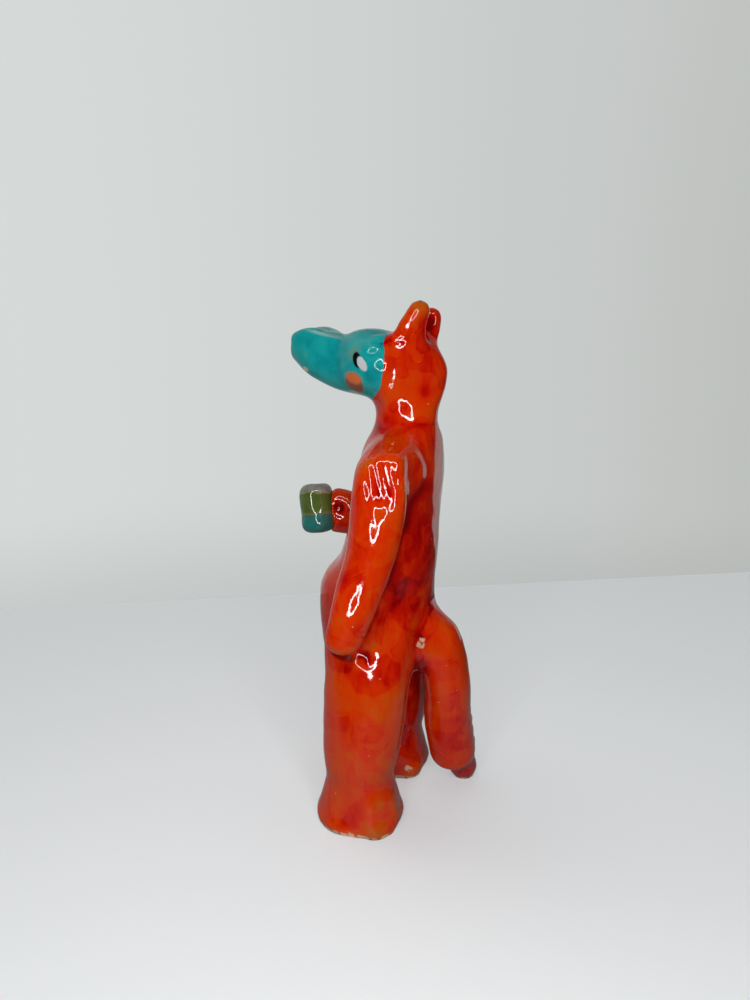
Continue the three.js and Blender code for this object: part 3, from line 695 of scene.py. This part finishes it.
shade = add(tree, "ShaderNodeMapRange", None,
            {"Value": cloudy.outputs["Fac"], "From Min": 0.3, "From Max": 0.75,
             "To Min": 0.0, "To Max": 0.55})
body = add(tree, "ShaderNodeMix", {"data_type": "RGBA"},
           {"Factor": shade.outputs[0], 6: bands.outputs[0], 7: linear("#4A4A26")})
peel = add(tree, "ShaderNodeTexNoise", None, {"Vector": place, "Scale": 1000 / 2.2, "Detail": 2.0})
ripple = add(tree, "ShaderNodeBump", None,
             {"Strength": 0.3, "Distance": 0.12 * MM, "Height": peel.outputs["Fac"]})
glass = add(tree, "ShaderNodeBsdfPrincipled", None,
            {"Base Color": body.outputs[2], "Roughness": 0.06, "IOR": GLAZE_IOR, "Specular IOR Level": 0.5,
             "Normal": ripple.outputs[0]})
add(tree, "ShaderNodeOutputMaterial", None, {"Surface": glass.outputs[0]})
cup_mesh.materials.clear()
cup_mesh.materials.append(banded)
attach(cup, "root")
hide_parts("cup")

# Board
# A white board with a fine pearl grain, which the figure stands on.

BOARD_EDGE = 253.0 * MM                    # from the middle of the figure to the board's far edge
BOARD_TURN = math.atan2(-0.469, -0.883)    # direction of that edge, seen from above
BOARD_NEAR = 700.0 * MM
BOARD_HALF = 700.0 * MM
LIT_FRONT = math.radians(20.0)             # in front, towards the lamp's own stand, the board falls dark: painted shade, seen only in the glaze and in bounced light
LIT_SIDE = 0.55                            # how much the way to the right counts towards it
LIT_FROM = 62.0 * MM
LIT_TO = 118.0 * MM
BOARD_LIFT = 0.35                          # pale sheen of the board itself
BOARD_MIRRORED = 0.07                      # as much of it as the glaze mirrors
away = Vector((math.cos(BOARD_TURN), math.sin(BOARD_TURN), 0.0))
across = Vector((-away.y, away.x, 0.0))
board_mesh = bpy.data.meshes.new("board")
corners = [away * BOARD_EDGE + across * BOARD_HALF, away * -BOARD_NEAR + across * BOARD_HALF,
           away * -BOARD_NEAR - across * BOARD_HALF, away * BOARD_EDGE - across * BOARD_HALF]
board_mesh.from_pydata(corners, [], [(0, 1, 2, 3)])
board = bpy.data.objects.new("board", board_mesh)
bpy.context.scene.collection.objects.link(board)
board_paint = bpy.data.materials.new("white_board")
board_paint.use_nodes = True
tree = board_paint.node_tree
tree.nodes.clear()
place = add(tree, "ShaderNodeTexCoord").outputs["Object"]
grain = add(tree, "ShaderNodeTexNoise", None, {"Vector": place, "Scale": 1000 / 1.3, "Detail": 2.0})
pearl = add(tree, "ShaderNodeBump", None,
            {"Strength": 0.25, "Distance": 0.1 * MM, "Height": grain.outputs["Fac"]})
front = add(tree, "ShaderNodeVectorMath", {"operation": "DOT_PRODUCT"},
            {0: place, 1: (math.cos(LIT_FRONT), math.sin(LIT_FRONT), 0.0)})
right = add(tree, "ShaderNodeVectorMath", {"operation": "DOT_PRODUCT"},
            {0: place, 1: (-LIT_SIDE * math.sin(LIT_FRONT), LIT_SIDE * math.cos(LIT_FRONT), 0.0)})
front = add(tree, "ShaderNodeMath", {"operation": "MAXIMUM"},
            {0: front.outputs["Value"], 1: right.outputs["Value"]})
front = add(tree, "ShaderNodeMapRange", {"interpolation_type": "SMOOTHSTEP"},
            {"Value": front.outputs[0], "From Min": LIT_FROM, "From Max": LIT_TO,
             "To Min": 1.0, "To Max": 0.05})
rays = add(tree, "ShaderNodeLightPath")
# painted shade: seen in the glaze and in bounced light, the board is dark in front and grey behind; the
# camera sees it evenly pale
shade = add(tree, "ShaderNodeMix", {"data_type": "RGBA"},
            {"Factor": front.outputs[0], 6: linear("#181818"), 7: linear("#808283")})
shade = add(tree, "ShaderNodeMix", {"data_type": "RGBA"},
            {"Factor": rays.outputs["Is Camera Ray"], 6: shade.outputs[2], 7: linear("#BFC1C2")})
lit = add(tree, "ShaderNodeMath", {"operation": "MAXIMUM"},
          {0: front.outputs[0], 1: rays.outputs["Is Camera Ray"]})
paint = add(tree, "ShaderNodeBsdfPrincipled", None,
            {"Base Color": shade.outputs[2], "Roughness": 0.55, "Normal": pearl.outputs[0]})
mirrored = add(tree, "ShaderNodeMath", {"operation": "MAXIMUM"},
               {0: rays.outputs["Is Glossy Ray"], 1: rays.outputs["Is Transmission Ray"]})
mirrored = add(tree, "ShaderNodeMath", {"operation": "MULTIPLY"}, {0: mirrored.outputs[0], 1: BOARD_MIRRORED})
lift = add(tree, "ShaderNodeMath", {"operation": "MULTIPLY_ADD"},
           {0: rays.outputs["Is Camera Ray"], 1: BOARD_LIFT, 2: mirrored.outputs[0]})
lift = add(tree, "ShaderNodeMath", {"operation": "MULTIPLY"}, {0: lift.outputs[0], 1: lit.outputs[0]})
pale = add(tree, "ShaderNodeEmission", None, {"Color": linear("#F4F6F8"), "Strength": lift.outputs[0]})
both = add(tree, "ShaderNodeAddShader", None, {0: paint.outputs[0], 1: pale.outputs[0]})
add(tree, "ShaderNodeOutputMaterial", None, {"Surface": both.outputs[0]})
board_mesh.materials.append(board_paint)

# Camera
# A phone held level with the head, looking down a little, in the middle of the ring lamp.

AXIS_SHIFT = Vector((-1.240, 0.644, 0.0)) * MM   # from the frame's origin to the middle of the body
BEHIND = math.radians(20.0)                      # round from the figure's left side towards its back
LOOK_DOWN = math.radians(14.0)
EYE_AWAY = 0.325
EYE_HEIGHT = 0.218
SENSOR_WIDTH = 36.0
FOCAL_LENGTH = 28.08
eye = Vector((EYE_AWAY * math.cos(BEHIND), EYE_AWAY * math.sin(BEHIND), EYE_HEIGHT)) + AXIS_SHIFT
lens = bpy.data.cameras.new("phone")
lens.sensor_width = SENSOR_WIDTH
lens.lens = FOCAL_LENGTH
phone = bpy.data.objects.new("phone", lens)
phone.location = eye
phone.rotation_euler = (math.radians(90) - LOOK_DOWN, 0.0, math.radians(90) + BEHIND)
bpy.context.scene.collection.objects.link(phone)
bpy.context.scene.camera = phone

# Light
# A ring lamp stands round the phone; the pale walls fill in from behind and the room in front is dim.

RING_WIDTH = 260.0 * MM
RING_TUBE = 18.0 * MM
RING_POWER = 1.22
RING_RIM = 1.0 - 2.0 * RING_TUBE / RING_WIDTH
ring = bpy.data.lights.new("ring_lamp", "AREA")
ring.shape = "DISK"
ring.size = RING_WIDTH
ring.energy = RING_POWER / (1.0 - RING_RIM ** 2)
ring.use_nodes = True
tree = ring.node_tree
tree.nodes.clear()
spot = add(tree, "ShaderNodeNewGeometry").outputs["Parametric"]
middle = add(tree, "ShaderNodeVectorMath", {"operation": "DISTANCE"}, {0: spot, 1: (0.5, 0.5, 0.0)})
tube = add(tree, "ShaderNodeMath", {"operation": "GREATER_THAN"},
           {0: middle.outputs["Value"], 1: 0.5 * RING_RIM})
glow = add(tree, "ShaderNodeEmission", None, {"Color": linear("#FFFFFF"), "Strength": tube.outputs[0]})
add(tree, "ShaderNodeOutputLight", None, {"Surface": glow.outputs[0]})
ring_lamp = bpy.data.objects.new("ring_lamp", ring)
ring_lamp.location = eye
ring_lamp.rotation_euler = phone.rotation_euler
ring_lamp.visible_camera = False
bpy.context.scene.collection.objects.link(ring_lamp)

CEILING_SIZE = 1.0
CEILING_PLACE = (-0.10, -0.20, 1.1)
CEILING_POWER = 2.0
ceiling = bpy.data.lights.new("ceiling_lamp", "AREA")
ceiling.size = CEILING_SIZE
ceiling.energy = CEILING_POWER
ceiling_lamp = bpy.data.objects.new("ceiling_lamp", ceiling)
ceiling_lamp.location = CEILING_PLACE
ceiling_lamp.visible_camera = False
ceiling_lamp.visible_glossy = False
bpy.context.scene.collection.objects.link(ceiling_lamp)

world = bpy.data.worlds.new("room")
bpy.context.scene.world = world
world.use_nodes = True
tree = world.node_tree
tree.nodes.clear()
view = Vector((-math.cos(BEHIND), -math.sin(BEHIND), 0.0))
side = Vector((-math.sin(BEHIND), math.cos(BEHIND), 0.0))
toward = add(tree, "ShaderNodeTexCoord").outputs["Generated"]
beyond = add(tree, "ShaderNodeVectorMath", {"operation": "DOT_PRODUCT"}, {0: toward, 1: view})
rightward = add(tree, "ShaderNodeVectorMath", {"operation": "DOT_PRODUCT"}, {0: toward, 1: side})
fall = add(tree, "ShaderNodeMapRange", None,
           {"Value": rightward.outputs["Value"], "From Min": -1.0, "From Max": 1.0})
wall = add(tree, "ShaderNodeValToRGB", None, {0: fall.outputs[0]})
graded(wall, ((0.0, "#C8CCCA"), (0.295, "#D6DAD9"), (0.41, "#D2D6D5"), (0.5, "#CDD1CF"), (0.59, "#C7CBC9"),
              (0.637, "#C6C9C7"), (0.72, "#BDC0BD"), (1.0, "#C2C5C2")))
low = add(tree, "ShaderNodeSeparateXYZ", None, {0: toward})
low = add(tree, "ShaderNodeMapRange", {"interpolation_type": "SMOOTHSTEP"},
          {"Value": low.outputs["Z"], "From Min": -0.37, "From Max": -0.22, "To Min": 0.22, "To Max": 0.0})
wall = add(tree, "ShaderNodeMix", {"data_type": "RGBA"},
           {"Factor": low.outputs[0], 6: wall.outputs[0], 7: linear("#7A7D7A")})
facing = add(tree, "ShaderNodeMapRange", {"interpolation_type": "SMOOTHSTEP"},
             {"Value": beyond.outputs["Value"], "From Min": -0.1, "From Max": 0.35})
aside = add(tree, "ShaderNodeMapRange", {"interpolation_type": "SMOOTHSTEP"},
            {"Value": rightward.outputs["Value"], "From Min": 0.74, "From Max": 0.82,
             "To Min": 1.0, "To Max": 0.0})
facing = add(tree, "ShaderNodeMath", {"operation": "MULTIPLY"}, {0: facing.outputs[0], 1: aside.outputs[0]})
dim = add(tree, "ShaderNodeMix", {"data_type": "RGBA"},
          {"Factor": facing.outputs[0], 6: linear("#282828"), 7: wall.outputs[2]})
rays = add(tree, "ShaderNodeLightPath")
around = add(tree, "ShaderNodeMix", {"data_type": "RGBA"},
             {"Factor": rays.outputs["Is Camera Ray"], 6: dim.outputs[2], 7: wall.outputs[2]})
seen = add(tree, "ShaderNodeMath", {"operation": "MAXIMUM"},
           {0: rays.outputs["Is Camera Ray"], 1: rays.outputs["Is Glossy Ray"]})
seen = add(tree, "ShaderNodeMath", {"operation": "MAXIMUM"},
           {0: seen.outputs[0], 1: rays.outputs["Is Transmission Ray"]})
rise = add(tree, "ShaderNodeSeparateXYZ", None, {0: toward}).outputs["Z"]
above = add(tree, "ShaderNodeMapRange", {"interpolation_type": "SMOOTHSTEP"},
            {"Value": rise, "From Min": 0.35, "From Max": 0.6, "To Max": 0.42})
across = add(tree, "ShaderNodeMath", {"operation": "ABSOLUTE"}, {0: rightward.outputs["Value"]})
across = add(tree, "ShaderNodeMapRange", {"interpolation_type": "SMOOTHSTEP"},
             {"Value": across.outputs[0], "From Min": 0.2, "From Max": 0.5, "To Min": -1.0, "To Max": 0.0})
sill = add(tree, "ShaderNodeMapRange", {"interpolation_type": "SMOOTHSTEP"},
           {"Value": rise, "From Min": 0.1, "From Max": 0.4, "To Min": 1.3, "To Max": 0.35})
window = add(tree, "ShaderNodeMapRange", {"interpolation_type": "SMOOTHSTEP"},
             {"Value": rightward.outputs["Value"], "From Min": 0.45, "From Max": 0.58, "To Min": 0.78,
              "To Max": sill.outputs[0]})
mirrored = add(tree, "ShaderNodeMath", {"operation": "MULTIPLY_ADD"},
               {0: above.outputs[0], 1: across.outputs[0], 2: window.outputs[0]})
leftward = add(tree, "ShaderNodeMapRange", {"interpolation_type": "SMOOTHSTEP"},
               {"Value": rightward.outputs["Value"], "From Min": -0.8, "From Max": -0.35,
                "To Min": 0.72, "To Max": 1.0})
mirrored = add(tree, "ShaderNodeMath", {"operation": "MULTIPLY"},
               {0: mirrored.outputs[0], 1: leftward.outputs[0]})
fill = add(tree, "ShaderNodeMapRange", {"interpolation_type": "SMOOTHSTEP"},
           {"Value": rightward.outputs["Value"], "From Min": -0.9, "From Max": -0.1,
            "To Min": 2.4, "To Max": 0.55})
level = add(tree, "ShaderNodeMapRange", None,
            {"Value": seen.outputs[0], "To Min": fill.outputs[0], "To Max": mirrored.outputs[0]})
level = add(tree, "ShaderNodeMapRange", None,
            {"Value": rays.outputs["Is Camera Ray"], "To Min": level.outputs[0], "To Max": 1.0})
air = add(tree, "ShaderNodeBackground", None, {"Color": around.outputs[2], "Strength": level.outputs[0]})
add(tree, "ShaderNodeOutputWorld", None, {"Surface": air.outputs[0]})

bpy.context.scene.view_settings.view_transform = "Standard"
